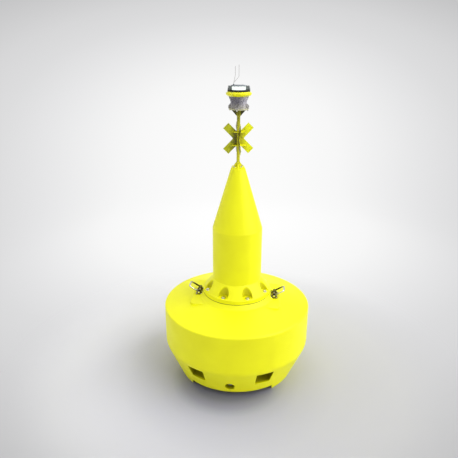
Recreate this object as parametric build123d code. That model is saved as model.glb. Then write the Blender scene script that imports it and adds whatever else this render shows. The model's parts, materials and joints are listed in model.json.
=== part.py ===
from build123d import *
import os

# Special mark navigation buoy: a moulded float with two side runners, a moulded tower, a pipe mast
# with a cross topmark, and a self contained lantern with bird spikes. Millimetres, +Z up, the
# origin on the ground under the middle of the float, -Y to the front.

# Float, a solid of revolution about the mast line
float_radius = 900.0
foot_inset = 177.0           # the lower cone's foot lies this far inside the side wall
foot_radius = float_radius - foot_inset
deck_edge_z = 885.0
deck_edge_round = 20.0
knuckle_z = 410.0            # where the upright side wall turns into the lower cone
knuckle_round = 150.0
flange_radius = 415.7        # tower flange, which the middle of the deck is made for
seat_z = 1038.0              # level face that the tower stands on
seat_overhang = 1.0          # the seat is this much wider than the tower flange
seat_radius = flange_radius + seat_overhang
deck_inner_gap = 43.3        # from the seat's edge out to the top of the sloping deck
deck_inner_radius = seat_radius + deck_inner_gap
deck_inner_z = 990.0

# Underside: a channel from front to back leaves a runner on each side
channel_width = 968.0
channel_height = 72.0
well_radius = 220.0          # mooring well in the middle
well_height = 158.0
well_round = 15.0

# Forklift tunnels, front to back; they lean in towards their floor
tunnel_roof_spacing = 820.0
tunnel_roof_width = 192.0
tunnel_floor_spacing = 743.0
tunnel_floor_width = 165.0
tunnel_height = 169.0
tunnel_floor_z = 211.0
tunnel_round = 8.0

# Mooring bar, front to back, with its ends in round pockets
bar_radius = 20.0
bar_z = 178.0
bar_pocket_radius = 57.0
bar_pocket_depth = 95.0      # from the lower cone at bar height
bar_thread_length = 34.0     # bar end that stands out past the washer
bar_washer_radius = 42.0
bar_washer_thick = 8.0
bar_nut_flats = 60.0
bar_nut_height = 28.0
bar_clearance = 0.3
bar_end_chamfer = 2.5
eye_thick = 30.0
eye_width = 90.0
eye_lower_width = 74.0       # round the shackle hole
eye_drop = 55.0              # from the bar's axis to the shackle hole
eye_hole_radius = 20.0

# Lifting brackets with a hinged bow on each
bracket_offset = 53.3        # from the tower flange out to the bow's hinge
bracket_x = flange_radius + bracket_offset
bracket_plate_x = 84.0
bracket_plate_y = 184.0
bracket_plate_thick = 6.0
bracket_plate_corner = 10.0
ear_spacing = 100.0          # between the ears' middles
ear_thick = 12.0
ear_width = 48.0
ear_foot_width = 76.0
hinge_height = 24.0          # hinge axis above the base plate
pin_radius = 8.0
pin_clearance = 0.5
pin_head_flats = 26.0
pin_head_height = 10.0
bow_rod_radius = 10.0
bow_eye_radius = 19.0
bow_eye_thick = 22.0
bow_eye_gap = 1.0            # between a bow's eye and the ear beside it
bow_reach = 138.0            # hinge axis to the middle of the bow's crown
bow_corner_radius = 28.0     # of the rod's middle line
bow_rest_angle = 30.0        # above level
bracket_bolt_flats = 19.0
bracket_bolt_height = 8.0
bracket_bolt_inset = 15.0

# Lifting seats, level blocks moulded on the deck at the left and right
lift_seat_z = 985.0
lift_seat_past = 79.0        # the seat runs on this far outside the hinge
lift_seat_reach = bracket_x + lift_seat_past
lift_seat_length = 660.0
lift_seat_corner = 70.0
lift_seat_round = 10.0
lift_seat_depth = 200.0      # how far the block reaches down into the float
notch_clearance = 4.0        # between a bracket's base plate and the moulding round it

# Tower, moulded in one piece
flange_thick = 57.0
flange_round = 8.0
skirt_inset = 11.7           # the skirt's foot lies this far inside the flange
skirt_top_z = 1232.0
tower_radius = 298.0
shoulder_z = 1872.0          # cylinder below, cone above
shoulder_round = 25.0
tower_top_z = 2594.0
tower_top_radius = 82.5
tower_top_round = 5.0
collar_radius = 76.0         # upright collar on the tower's top, under the mast
collar_height = 14.0
pocket_count = 8
pocket_radius = 64.0
pocket_inset = 44.0          # from the flange's edge to a pocket's middle
tower_turn = 2.5             # the pockets are turned this much against the float
tower_bolt_inset = 43.7      # from the flange's edge to a bolt's middle
tower_bolt_flats = 36.0
tower_bolt_height = 15.0
tower_washer_radius = 30.0
tower_washer_thick = 4.0

# Mast, a pipe with a plate at each end
mast_radius = 19.0
mast_wall = 3.2
foot_plate_radius = 72.0
foot_plate_thick = 8.0
foot_gusset_reach = 54.0
foot_gusset_height = 54.0
head_plate_radius = 110.0
head_plate_thick = 12.0
mast_height = 672.0          # from the tower's top to the head plate's upper face
head_plate_top_z = tower_top_z + mast_height
head_gusset_reach = 80.0
head_gusset_height = 74.0
gusset_thick = 5.0
gusset_count = 4
gusset_tip = 6.0             # upright edge at a gusset's outer end

# Topmark, four half crosses round the mast and two level discs
topmark_height = 342.0       # above the tower's top
topmark_z = tower_top_z + topmark_height
arm_length = 203.0           # from the cross's middle to an arm's end
arm_width = 84.0
arm_thick = 5.0
arm_crotch_round = 15.0      # in the corner between two arms
topmark_turn = 15.0          # wings are turned this much against the float
wing_count = 4
disc_spacing = 146.0
disc_upper_radius = 73.0
disc_lower_radius = 87.0
disc_thick = 4.0
disc_fit = 0.2

# Lantern
lamp_foot_radius = 88.0
lamp_foot_thick = 12.0
lamp_waist_radius = 86.0
lamp_waist_low = 46.0         # the waist is upright between these heights
lamp_waist_high = 74.0
lamp_neck_radius = 109.0
lamp_body_height = 132.0
lamp_rib_count = 12
lamp_rib_width = 8.0
lamp_rib_proud = 4.0
lamp_rib_root = 1.0          # a rib starts this far inside the housing's face
lug_count = 4
lug_turn = -6.0              # lugs are turned this much against the float
lug_circle_radius = 100.0
lug_width = 34.0
lug_wall = 4.0
lug_tip_radius = 114.0
lug_height = 58.0
lug_cheek_height = 28.0      # upright edge at a lug's tip
lamp_bolt_flats = 19.0
lamp_bolt_height = 8.0
ring_radius = 142.0
ring_band = 15.0             # upright band round the ring's middle
ring_edge_radius = 121.0     # at the ring's lower and upper face
ring_height = 50.0
lens_gap = 17.0              # dark joint between ring and lens
lens_joint_radius = 124.5
lens_foot_radius = 126.0
lens_top_radius = 117.0
lens_height = 43.0
lens_top_round = 6.0
lens_wall = 3.0
core_radius = 76.0
core_gap = 1.0
core_bevel = 4.0
cap_radius = 84.0
cap_height = 4.0
cap_bevel = 2.0

# Bird spikes, two bent wires on a small boss; heights are above the boss
spike_radius = 1.6
spike_base_radius = 10.0
spike_base_height = 10.0
spike_base_offset = 57.0     # from the mast line, to the left
spike_spacing = 10.0
spike_bend_radius = 12.0
spike_start = 14.0           # upright length before the first bend
long_spike_lean = 57.0       # from the boss to where the wire stands upright
long_spike_bend = 80.0
long_spike_tip = 202.0
short_spike_lean = 16.0
short_spike_bend = 95.0
short_spike_tip = 187.0

os.makedirs("parts", exist_ok=True)


def save(shape, name):
    """Write one node to its STEP file."""
    shape.label = name
    export_step(shape, f"parts/{name}.step")


def revolved(points):
    """Solid of revolution about Z from (radius, z) points; a third number rounds that corner."""
    plan = make_face(Polyline(*[point[:2] for point in points], close=True))
    for point in points:
        if len(point) == 3:
            corner = plan.vertices().sort_by_distance(point[:2])[0]
            plan = fillet(corner, point[2])
    return revolve(Plane.XZ * plan, Axis.Z)


def upright(shape, turn):
    """Turn a shape about the mast line."""
    return Rot(0, 0, turn) * shape


def hexagon(flats, height, z=0.0):
    """Hexagon prism standing on z."""
    prism = extrude(RegularPolygon(flats / 2, 6, major_radius=False), height)
    return Pos(0, 0, z) * prism


def disc(radius, height, z=0.0):
    """Round plate standing on z."""
    return Pos(0, 0, z) * extrude(Circle(radius), height)


def ring_plate(radius, bore, height, z=0.0):
    """Round plate with a hole, standing on z."""
    return disc(radius, height, z) - disc(bore, height, z)


def cone_radius(z):
    """Radius of the float's lower cone at a height."""
    return foot_radius + (float_radius - foot_radius) * z / knuckle_z


def make_float():
    """The moulded float with its deck, runners, tunnels, bar pockets and mooring well."""
    body = revolved([
        (0, 0),
        (foot_radius, 0),
        (float_radius, knuckle_z, knuckle_round),
        (float_radius, deck_edge_z, deck_edge_round),
        (deck_inner_radius, deck_inner_z),
        (seat_radius, seat_z),
        (0, seat_z),
    ])

    # lifting seats
    seat_plan = RectangleRounded(2 * lift_seat_reach, lift_seat_length, lift_seat_corner)
    seats = Pos(0, 0, lift_seat_z - lift_seat_depth) * extrude(seat_plan, lift_seat_depth)
    seats = fillet(seats.faces().sort_by(Axis.Z)[-1].edges(), lift_seat_round)
    body = body + seats
    notch_x = bracket_plate_x + 2 * notch_clearance
    notch_y = bracket_plate_y + 2 * notch_clearance
    notch = Box(notch_x, notch_y, seat_z, align=(Align.CENTER, Align.CENTER, Align.MIN))
    for side in (-1, 1):
        body -= Pos(side * bracket_x, 0, lift_seat_z) * notch

    # channel between the runners, and the mooring well above it
    reach = 2 * float_radius
    body -= Pos(0, 0, channel_height / 2) * Box(channel_width, reach, channel_height)
    body -= revolved([
        (0, channel_height),
        (well_radius, channel_height),
        (well_radius, channel_height + well_height, well_round),
        (0, channel_height + well_height),
    ])

    # forklift tunnels
    roof_z = tunnel_floor_z + tunnel_height
    for side in (-1, 1):
        roof_x = side * tunnel_roof_spacing / 2
        floor_x = side * tunnel_floor_spacing / 2
        section = make_face(Polyline(
            (floor_x - tunnel_floor_width / 2, tunnel_floor_z),
            (floor_x + tunnel_floor_width / 2, tunnel_floor_z),
            (roof_x + tunnel_roof_width / 2, roof_z),
            (roof_x - tunnel_roof_width / 2, roof_z), close=True))
        section = fillet(section.vertices(), tunnel_round)
        body -= extrude(Plane.XZ * section, reach, both=True)

    # mooring bar's hole and end pockets
    body -= Pos(0, 0, bar_z) * Rot(90, 0, 0) * Cylinder(bar_radius + bar_clearance, reach)
    for side in (-1, 1):
        pocket_y = side * (cone_radius(bar_z) - bar_pocket_depth + reach / 2)
        body -= Pos(0, pocket_y, bar_z) * Rot(90, 0, 0) * Cylinder(bar_pocket_radius, reach)
    return body


def make_mooring_bar():
    """Straight bar through the float, threaded end to threaded end."""
    half = cone_radius(bar_z) - bar_pocket_depth + bar_washer_thick + bar_thread_length
    bar = Cylinder(bar_radius, 2 * half)
    bar = chamfer(bar.edges().filter_by(GeomType.CIRCLE), bar_end_chamfer)
    return Pos(0, 0, bar_z) * Rot(90, 0, 0) * bar


def make_mooring_nuts():
    """Washer and nut at each end of the bar."""
    pieces = []
    face = cone_radius(bar_z) - bar_pocket_depth
    bore = bar_radius + bar_clearance
    for turn in (90, -90):
        washer = ring_plate(bar_washer_radius, bore, bar_washer_thick, face)
        nut = hexagon(bar_nut_flats, bar_nut_height, face + bar_washer_thick)
        nut -= disc(bore, bar_nut_height, face + bar_washer_thick)
        pieces.append(Pos(0, 0, bar_z) * Rot(turn, 0, 0) * (washer + nut))
    return Compound(children=pieces)


def make_mooring_eye():
    """Eye plate on the bar in the middle of the well."""
    upper = Circle(eye_width / 2)
    lower = Pos(0, -eye_drop) * Circle(eye_lower_width / 2)
    plate = make_hull((upper + lower).edges())
    plate -= Circle(bar_radius + bar_clearance)
    plate -= Pos(0, -eye_drop) * Circle(eye_hole_radius)
    solid = extrude(plate, eye_thick / 2, both=True)
    return Pos(0, 0, bar_z) * Rot(90, 0, 0) * solid


def bracket_at_origin():
    """Base plate with two ears; hinge axis along Y through the origin."""
    plate_z = -hinge_height - bracket_plate_thick
    plate_plan = RectangleRounded(bracket_plate_x, bracket_plate_y, bracket_plate_corner)
    plate = Pos(0, 0, plate_z) * extrude(plate_plan, bracket_plate_thick)
    foot = Line((-ear_foot_width / 2, -hinge_height), (ear_foot_width / 2, -hinge_height))
    ear_plan = make_hull(Circle(ear_width / 2).edges() + [foot])
    ear_plan -= Circle(pin_radius + pin_clearance)
    ear = Rot(90, 0, 0) * extrude(ear_plan, ear_thick / 2, both=True)
    for side in (-1, 1):
        plate += Pos(0, side * ear_spacing / 2, 0) * ear
    return plate


def bow_half_width():
    """From the bracket's middle to the middle of a bow's leg, which runs outside the ear."""
    return ear_spacing / 2 + ear_thick / 2 + bow_eye_gap + bow_eye_thick / 2


def pin_at_origin():
    """Bolt through the ears along Y, with its nut."""
    half = bow_half_width() + bow_eye_thick / 2 + bow_eye_gap
    shank = Cylinder(pin_radius, 2 * half + 2 * pin_head_height)
    head = hexagon(pin_head_flats, pin_head_height, half)
    nut = hexagon(pin_head_flats, pin_head_height, -half - pin_head_height)
    return Rot(90, 0, 0) * (shank + head + nut)


def bow_at_origin():
    """U bow lying along +X, hinge axis along Y through the origin."""
    half = bow_half_width()
    path = FilletPolyline(
        (0, -half), (bow_reach, -half), (bow_reach, half), (0, half), radius=bow_corner_radius)
    section = Plane((0, -half, 0), z_dir=(1, 0, 0)) * Circle(bow_rod_radius)
    rod = sweep(section, path)
    for side in (-1, 1):
        eye = Pos(0, side * half, 0) * Rot(90, 0, 0) * Cylinder(bow_eye_radius, bow_eye_thick)
        rod += eye
    hole = Rot(90, 0, 0) * Cylinder(pin_radius + pin_clearance, 3 * half)
    return rod - hole


def bracket_bolts_at_origin():
    """Four hexagon heads on the base plate."""
    heads = []
    for x in (-1, 1):
        for y in (-1, 1):
            place = Pos(x * (bracket_plate_x / 2 - bracket_bolt_inset),
                        y * (bracket_plate_y / 2 - bracket_bolt_inset), -hinge_height)
            heads.append(place * hexagon(bracket_bolt_flats, bracket_bolt_height))
    return heads


def lift_place(side):
    """Place of a lifting bracket's hinge; side is 1 at the right and -1 at the left."""
    hinge_z = lift_seat_z + bracket_plate_thick + hinge_height
    turn = 0 if side > 0 else 180
    return Rot(0, 0, turn) * Pos(bracket_x, 0, hinge_z)


def make_tower():
    """Flange, conical skirt with bolt pockets, cylinder and cone."""
    flange_top = seat_z + flange_thick
    body = revolved([
        (0, seat_z),
        (flange_radius, seat_z),
        (flange_radius, flange_top, flange_round),
        (flange_radius - skirt_inset, flange_top),
        (tower_radius, skirt_top_z),
        (tower_radius, shoulder_z, shoulder_round),
        (tower_top_radius, tower_top_z, tower_top_round),
        (collar_radius, tower_top_z),
        (collar_radius, tower_top_z + collar_height),
        (0, tower_top_z + collar_height),
    ])
    pocket = disc(pocket_radius, skirt_top_z - flange_top, flange_top)
    for i in range(pocket_count):
        body -= upright(Pos(0, pocket_inset - flange_radius, 0) * pocket, tower_bolt_turn(i))
    return body


def tower_bolt_turn(i):
    """Turn of pocket and bolt i about the mast line."""
    return tower_turn + (i + 0.5) * 360 / pocket_count


def make_tower_bolts():
    """Washer and hexagon head in each pocket."""
    base = seat_z + flange_thick
    bolt = disc(tower_washer_radius, tower_washer_thick, base)
    bolt += hexagon(tower_bolt_flats, tower_bolt_height, base + tower_washer_thick)
    bolts = []
    for i in range(pocket_count):
        bolts.append(upright(Pos(0, tower_bolt_inset - flange_radius, 0) * bolt, tower_bolt_turn(i)))
    return Compound(children=bolts)


def make_gussets(reach, height, plate_face_z, up, turn):
    """Triangular plates between the mast and an end plate."""
    direction = 1 if up else -1
    pieces = []
    for i in range(gusset_count):
        corners = [
            (mast_radius, 0, 0),
            (reach, 0, 0),
            (reach, 0, direction * gusset_tip),
            (mast_radius, 0, direction * height),
        ]
        face = make_face(Polyline(*corners, close=True))
        gusset = extrude(face, gusset_thick / 2, both=True)
        gusset = Pos(0, 0, plate_face_z) * gusset
        pieces.append(upright(gusset, turn + i * 360 / gusset_count))
    return Compound(children=pieces)


def wing_at_origin():
    """Half cross in the XZ plane, beside the mast, its middle at the origin."""
    arm = Rectangle(arm_length, arm_width, align=(Align.MIN, Align.CENTER))
    plan = Rot(0, 0, 45) * arm + Rot(0, 0, -45) * arm
    plan = fillet(plan.vertices().sort_by_distance((arm_width / 2 ** 0.5, 0))[0], arm_crotch_round)
    plan -= Rectangle(mast_radius, 2 * arm_width, align=(Align.MIN, Align.CENTER))
    plan -= Rectangle(arm_width, 2 * arm_width, align=(Align.MAX, Align.CENTER))
    return Rot(90, 0, 0) * extrude(plan, arm_thick / 2, both=True)


def make_wing(i):
    """One of the topmark's wings in place."""
    turn = topmark_turn + i * 360 / wing_count
    return upright(Pos(0, 0, topmark_z) * wing_at_origin(), turn)


def make_topmark_disc(radius, z):
    """Level disc, slotted where the wings pass through it."""
    plate = ring_plate(radius, mast_radius, disc_thick, z - disc_thick / 2)
    for i in range(wing_count):
        turn = topmark_turn + i * 360 / wing_count
        slot = Box(radius * 2, arm_thick + 2 * disc_fit, disc_thick * 2,
                   align=(Align.MIN, Align.CENTER, Align.CENTER))
        inner = (disc_spacing - disc_thick) / 2 - arm_width / 2 ** 0.5 - disc_fit
        plate -= upright(Pos(inner, 0, z) * slot, turn)
    return plate


def lamp_profile():
    """Half width of the lantern body against height, from foot to neck."""
    return [
        (lamp_foot_radius, 0),
        (lamp_foot_radius, lamp_foot_thick),
        (lamp_waist_radius, lamp_waist_low),
        (lamp_waist_radius, lamp_waist_high),
        (lamp_neck_radius, lamp_body_height),
    ]


lamp_z = head_plate_top_z
ring_z = lamp_z + lamp_body_height
lens_z = ring_z + ring_height + lens_gap
lens_top_z = lens_z + lens_height


def make_lamp_body():
    """Hourglass housing with upright ribs and foot lugs."""
    points = [(r, lamp_z + z) for r, z in lamp_profile()]
    body = revolved([(0, lamp_z)] + points + [(0, lamp_z + lamp_body_height)])
    inner = [(r - lamp_rib_root, z) for r, z in points[1:]]
    outer = [(r + lamp_rib_proud, z) for r, z in reversed(points[1:])]
    rib = make_face(Polyline(*[(r, 0, z) for r, z in inner + outer], close=True))
    rib = extrude(rib, lamp_rib_width / 2, both=True)
    rib_turn = lug_turn + 180 / lamp_rib_count
    for i in range(lamp_rib_count):
        body += upright(rib, rib_turn + i * 360 / lamp_rib_count)
    side = make_face(Polyline(
        (0, 0, 0), (lug_tip_radius, 0, 0), (lug_tip_radius, 0, lug_cheek_height),
        (lamp_waist_radius, 0, lug_height), (0, 0, lug_height), close=True))
    lug = extrude(side, lug_width / 2, both=True)
    lug -= Pos(lamp_foot_radius, 0, lamp_foot_thick) * Box(
        lug_tip_radius, lug_width - 2 * lug_wall, lug_height,
        align=(Align.MIN, Align.CENTER, Align.MIN))
    for i in range(lug_count):
        body += upright(Pos(0, 0, lamp_z) * lug, lug_turn + i * 360 / lug_count)
    return body


def make_lamp_bolts():
    """A hexagon head on each lug."""
    head = hexagon(lamp_bolt_flats, lamp_bolt_height, lamp_z + lamp_foot_thick)
    bolts = []
    for i in range(lug_count):
        turn = lug_turn + i * 360 / lug_count
        bolts.append(upright(Pos(lug_circle_radius, 0, 0) * head, turn))
    return Compound(children=bolts)


def make_lamp_ring():
    """Ring above the body, an upright band with a slope below and above."""
    top = ring_z + ring_height
    slope = (ring_height - ring_band) / 2
    return revolved([
        (0, ring_z),
        (ring_edge_radius, ring_z),
        (ring_radius, ring_z + slope),
        (ring_radius, top - slope),
        (ring_edge_radius, top),
        (0, top),
    ])


def make_lens_joint():
    """Dark gasket between ring and lens."""
    return disc(lens_joint_radius, lens_gap, ring_z + ring_height)


def make_lens():
    """Clear cover, a thin shell open at the bottom."""
    outer = revolved([
        (0, lens_z),
        (lens_foot_radius, lens_z),
        (lens_top_radius, lens_top_z, lens_top_round),
        (0, lens_top_z),
    ])
    inner = revolved([
        (0, lens_z),
        (lens_foot_radius - lens_wall, lens_z),
        (lens_top_radius - lens_wall, lens_top_z - lens_wall),
        (0, lens_top_z - lens_wall),
    ])
    return outer - inner


def bevelled_disc(radius, height, bevel, z):
    """Round plate standing on z, its upper edge bevelled."""
    return revolved([
        (0, z),
        (radius, z),
        (radius, z + height - bevel),
        (radius - bevel, z + height),
        (0, z + height),
    ])


def make_core():
    """Light unit inside the lens."""
    return bevelled_disc(core_radius, lens_height - lens_wall - core_gap, core_bevel, lens_z)


def make_cap():
    """Low cap on top of the lens."""
    return bevelled_disc(cap_radius, cap_height, cap_bevel, lens_top_z)


spike_base_z = lens_top_z + cap_height


def make_spike_base():
    """Boss that holds the bird spikes."""
    return Pos(-spike_base_offset, 0, 0) * disc(spike_base_radius, spike_base_height, spike_base_z)


def make_spike(y, lean, bend, tip):
    """Wire that starts upright on the boss, leans over and ends upright."""
    path = FilletPolyline(
        (0, 0, 0), (0, 0, spike_start), (lean, 0, bend), (lean, 0, tip), radius=spike_bend_radius)
    wire = sweep(Circle(spike_radius), path)
    return Pos(-spike_base_offset, y, spike_base_z + spike_base_height) * wire


save(make_float(), "float")
save(make_mooring_bar(), "mooring_bar")
save(make_mooring_nuts(), "mooring_nuts")
save(make_mooring_eye(), "mooring_eye")
for side, name in ((-1, "left"), (1, "right")):
    place = lift_place(side)
    save(place * bracket_at_origin(), f"lifting_bracket_{name}")
    save(place * pin_at_origin(), f"lifting_pin_{name}")
    save(place * Rot(0, -bow_rest_angle, 0) * bow_at_origin(), f"lifting_bow_{name}")
    save(Compound(children=[place * b for b in bracket_bolts_at_origin()]),
         f"lifting_bolts_{name}")
save(make_tower(), "tower")
save(make_tower_bolts(), "tower_bolts")
foot_plate_z = tower_top_z + collar_height
save(disc(foot_plate_radius, foot_plate_thick, foot_plate_z), "mast_foot_plate")
foot_face = foot_plate_z + foot_plate_thick
head_face = head_plate_top_z - head_plate_thick
save(ring_plate(mast_radius, mast_radius - mast_wall, head_face - foot_face, foot_face), "mast")
save(make_gussets(foot_gusset_reach, foot_gusset_height, foot_face, True, 0), "mast_foot_gussets")
save(disc(head_plate_radius, head_plate_thick, head_face), "mast_head_plate")
save(make_gussets(head_gusset_reach, head_gusset_height, head_face, False, 0), "mast_head_gussets")
for i in range(wing_count):
    save(make_wing(i), f"topmark_wing_{i + 1}")
save(make_topmark_disc(disc_upper_radius, topmark_z + disc_spacing / 2), "topmark_disc_upper")
save(make_topmark_disc(disc_lower_radius, topmark_z - disc_spacing / 2), "topmark_disc_lower")
save(make_lamp_body(), "lantern_body")
save(make_lamp_bolts(), "lantern_bolts")
save(make_lamp_ring(), "lantern_ring")
save(make_lens_joint(), "lantern_gasket")
save(make_core(), "lantern_core")
save(make_lens(), "lantern_lens")
save(make_cap(), "lantern_cap")
save(make_spike_base(), "spike_base")
long_spike = make_spike(-spike_spacing / 2, long_spike_lean, long_spike_bend, long_spike_tip)
short_spike = make_spike(spike_spacing / 2, short_spike_lean, short_spike_bend, short_spike_tip)
save(Compound(children=[long_spike, short_spike]), "spikes")
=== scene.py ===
import json
import math
import bpy
from mathutils import Matrix, Vector


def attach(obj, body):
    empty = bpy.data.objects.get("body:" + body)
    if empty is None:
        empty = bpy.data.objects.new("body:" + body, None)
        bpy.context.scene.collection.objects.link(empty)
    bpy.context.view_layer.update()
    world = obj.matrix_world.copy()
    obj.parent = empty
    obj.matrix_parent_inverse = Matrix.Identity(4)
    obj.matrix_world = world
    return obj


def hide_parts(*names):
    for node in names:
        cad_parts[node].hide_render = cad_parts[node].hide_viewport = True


# A yellow special mark buoy on a pale studio floor. Metres, +Z up, -Y to the front of the float.

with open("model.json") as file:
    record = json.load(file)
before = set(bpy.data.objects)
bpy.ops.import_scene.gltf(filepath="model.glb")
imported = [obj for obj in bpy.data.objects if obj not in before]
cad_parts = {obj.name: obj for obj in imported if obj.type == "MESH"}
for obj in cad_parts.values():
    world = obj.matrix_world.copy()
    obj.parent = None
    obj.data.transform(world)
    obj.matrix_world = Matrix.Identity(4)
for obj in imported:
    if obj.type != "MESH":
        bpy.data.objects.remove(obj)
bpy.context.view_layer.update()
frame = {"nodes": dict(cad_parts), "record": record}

MM = 0.001
NEAR = 0.01                  # mm; heights no farther apart than this are the same
LEVEL = 0.99                 # a face lies level where its normal's Z is above this
ROUND = 48                   # sides of a round piece
SMALL_ROUND = 24             # and of one under 20 mm
TAN_60 = 3 ** 0.5
SMOOTH = 40.0                # degrees; edges blunter than this are shaded smooth

# Camera, as in the photograph
CAMERA_PLACE = Vector((0.486, -5.590, 3.908))
CAMERA_TURN = 6.0            # degrees to the left of +Y
CAMERA_DOWN = 20.175         # degrees below level
CAMERA_ROLL = 0.254          # degrees
CAMERA_LENS = 39.1           # mm, for a 36 mm sensor

# Places and sizes of the fittings, as in the solids, in millimetres
TOWER_BOLTS = {"count": 8, "radius": 372.0, "seat": 1095.0, "turn": 25.0,
               "flats": 36.0, "height": 15.0, "washer": 30.0, "washer_thick": 4.0}
LANTERN_BOLTS = {"count": 4, "radius": 100.0, "seat": 3278.0, "turn": 84.0,
                 "flats": 19.0, "height": 8.0}
LANTERN_NUTS = {"count": 4, "radius": 100.0, "seat": 3254.0, "turn": 84.0,
                "flats": 19.0, "height": 9.0, "stud": 6.0, "stud_past": 5.0}
MAST_FOOT_BOLTS = {"count": 4, "radius": 56.0, "seat": 2616.0, "turn": 45.0,
                   "flats": 17.0, "height": 9.0, "washer": 14.5, "washer_thick": 2.0,
                   "stud": 5.0, "stud_past": 4.0}
CAP_SCREWS = {"count": 6, "radius": 76.0, "seat": 3512.0, "turn": 30.0,
              "across": 8.0, "height": 2.4, "edge": 1.0, "socket": 1.2}
HEX_TOP = 0.475              # radius of a hexagon's turned top, as a share of its flats
HEX_CONE = 1.5               # height of the cone that turns it, as a share of the hexagon's
STUD_EDGE = 0.8
PLATE_EDGE = 0.6
BRACKET_X = 469.0
BRACKET_SEAT = 991.0
BRACKET_BOLTS = {"x": 27.0, "y": 77.0, "flats": 19.0, "height": 8.0}
HINGE_Z = 1015.0
PIN = {"radius": 8.0, "half": 80.0, "flats": 26.0, "height": 10.0, "past": 2.0, "edge": 1.2,
       "sides": 32}
EAR = {"middle": 50.0, "thick": 12.0, "foot": 76.0}
BAR = {"z": 178.0, "radius": 20.0, "half": 746.84, "seat": 704.84, "flats": 60.0,
       "height": 28.0, "washer": 42.0, "washer_thick": 8.0, "pitch": 4.5, "turns": 7, "sides": 40}
THREAD_ROOT = 0.92           # radius at the bottom of the bar's thread, as a share
MAST_RADIUS = 19.0
FOOT_FACE = 2616.0
HEAD_FACE = 3254.0
FOOT_GUSSET = (54.0, 54.0)   # reach from the mast line, and height
HEAD_GUSSET = (80.0, 74.0)
GUSSET_THICK = 5.0
WING_TURN = 15.0
WING_MIDDLE = 2936.0
WING_ROOT = 110.0            # height of a wing's edge along the mast
BEAD_RADIUS = 2.2            # of a weld bead
BEAD_RIPPLE = 3.0            # spacing of its ripples, about twice the real one so that they show
BEAD_NECK = 0.72             # its radius between two ripples, as a share
BEAD_SIDES = 8
RING_BEAD = 1.3              # radius of the bead round the mast, in straight beads
RING_DIP = 0.5               # and the depth of its ripples
JOINT = {"radius": 416.6, "low": 1036.6, "thick": 8.0, "width": 12.0, "edge": 0.5, "sides": 160}

# Painted shade in recesses, in millimetres. Cones that the float's foot and the tower's skirt lie
# on;
# the painted shade starts and is full this far inside them
FLOAT_CONE = {"low": -1.0, "low_radius": 723.0, "high": 396.0, "high_radius": 894.0,
              "start": 9.0, "full": 34.0}
SKIRT_CONE = {"low": 1097.0, "low_radius": 402.5, "high": 1232.0, "high_radius": 298.0,
              "start": 4.0, "full": 24.0}
# Painted shade left of the plane through the wings that stand front and back, as shares of a band
# that reaches this far to both sides of it: of the left wing, and of those wings' own left faces
WING_BAND = 12.0
WING_SHADE_TONES = [(0.0, "#C2C610"), (0.29, "#7A7806")]
# Painted shade round the mast, with a blotchy edge; from the mast line
WING_MAST_SHADE = {"full": 15.0, "gone": 85.0, "ragged": 30.0, "blotch": 25.0}
# Painted dark reflection on the lifting bows' legs, gone towards the crown; by distance to the side
BOW_DARK_LEGS = {"full": 510.0, "gone": 575.0, "lean": -0.5}   # it reaches farther out at the back
LIT_SIDE = (10.0, 80.0)        # painted light lightens the housing between these, to the right
# Heights
MAST_HEAD_SHADE = (3020.0, 3160.0)     # where the painted shade below the lantern fades out, and where it is full
# Where the housing turns paler towards its foot
PALE_FOOT = {"full": 3290.0, "gone": 3330.0, "share": 0.7}

# Patterns, in millimetres
NOISE_LOW, NOISE_HIGH = 0.3, 0.7     # a noise texture's values mostly lie between these
WALL_WAVE = {"length": 170.0, "depth": 0.8}    # slow waves in a moulded wall
# Real brush marks are about 0.1 mm apart; these are as coarse as they need to be to show
BRUSH = {"length": 12.0, "stretch": 14.0, "depth": 0.03, "gloss": (0.22, 0.40)}

# Studio: a round floor that curves up into a wall
COVE_MIDDLE = Vector((0, 2.2, 0))
COVE_RADIUS = 8.4
COVE_BEND = 3.5
COVE_BEND_STEPS = 16
COVE_HEIGHT = 9.0
COVE_SEGMENTS = 128

# Paper far off: a painted pool of light, greys in shells round a bright middle, 1 at the reach;
# metres
POOL_MIDDLE = (-0.53, 5.54, 2.18)
POOL_REACH = (7.81, 8.61, 4.73)
POOL_GREYS = [(0.47, "#FFFFFF"), (0.60, "#F7F7F7"), (0.73, "#E6E6E7"),
              (0.80, "#DDDDDE"), (0.87, "#D7D7D8"), (1.0, "#C5C5C6")]
# Paper by distance from a point under the float's front, 1 at SHADE_FAR: the deep shade at the
# float's foot, and a cool cast that meets the yellow light off the float
SHADE_MIDDLE = (-0.05, -0.4, 0.0)
SHADE_FAR = 2.1
SHADE_GREYS = [(0.20, "#848497"), (0.27, "#9999AB"), (0.34, "#B5B5C3"),
               (0.42, "#BFBFCB"), (0.62, "#CBCBD2"), (1.0, "#D4D4D6")]
PAPER_BOUNCE = ("#C4C4C5", "#D0D0D1")   # what light meets near the buoy and farther off
SHADOW_REACH = (1.7, 3.0)    # from the mast line; shadows fade out between these

# Sky, and lamps: name, degrees from the front to the right, degrees above level, degrees across
# as seen from the buoy, and watts per square metre
SKY_LEVEL = 0.50
KEY_LAMP = ("key_from_right", 80.0, 34.0, 70.0, 3.6)
TOP_LAMP = ("soft_overhead", 60.0, 76.0, 90.0, 1.0)


def linear(hex_colour):
    """Turn an sRGB hex colour into linear RGBA."""
    channels = [int(hex_colour[i:i + 2], 16) / 255 for i in (1, 3, 5)]
    return tuple(
        c / 12.92 if c <= 0.04045 else ((c + 0.055) / 1.055) ** 2.4 for c in channels) + (1.0,)


def per_mm(size):
    """Texture scale at which a pattern's cell is this many millimetres."""
    return 1000 / size


# Nodes and materials


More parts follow.
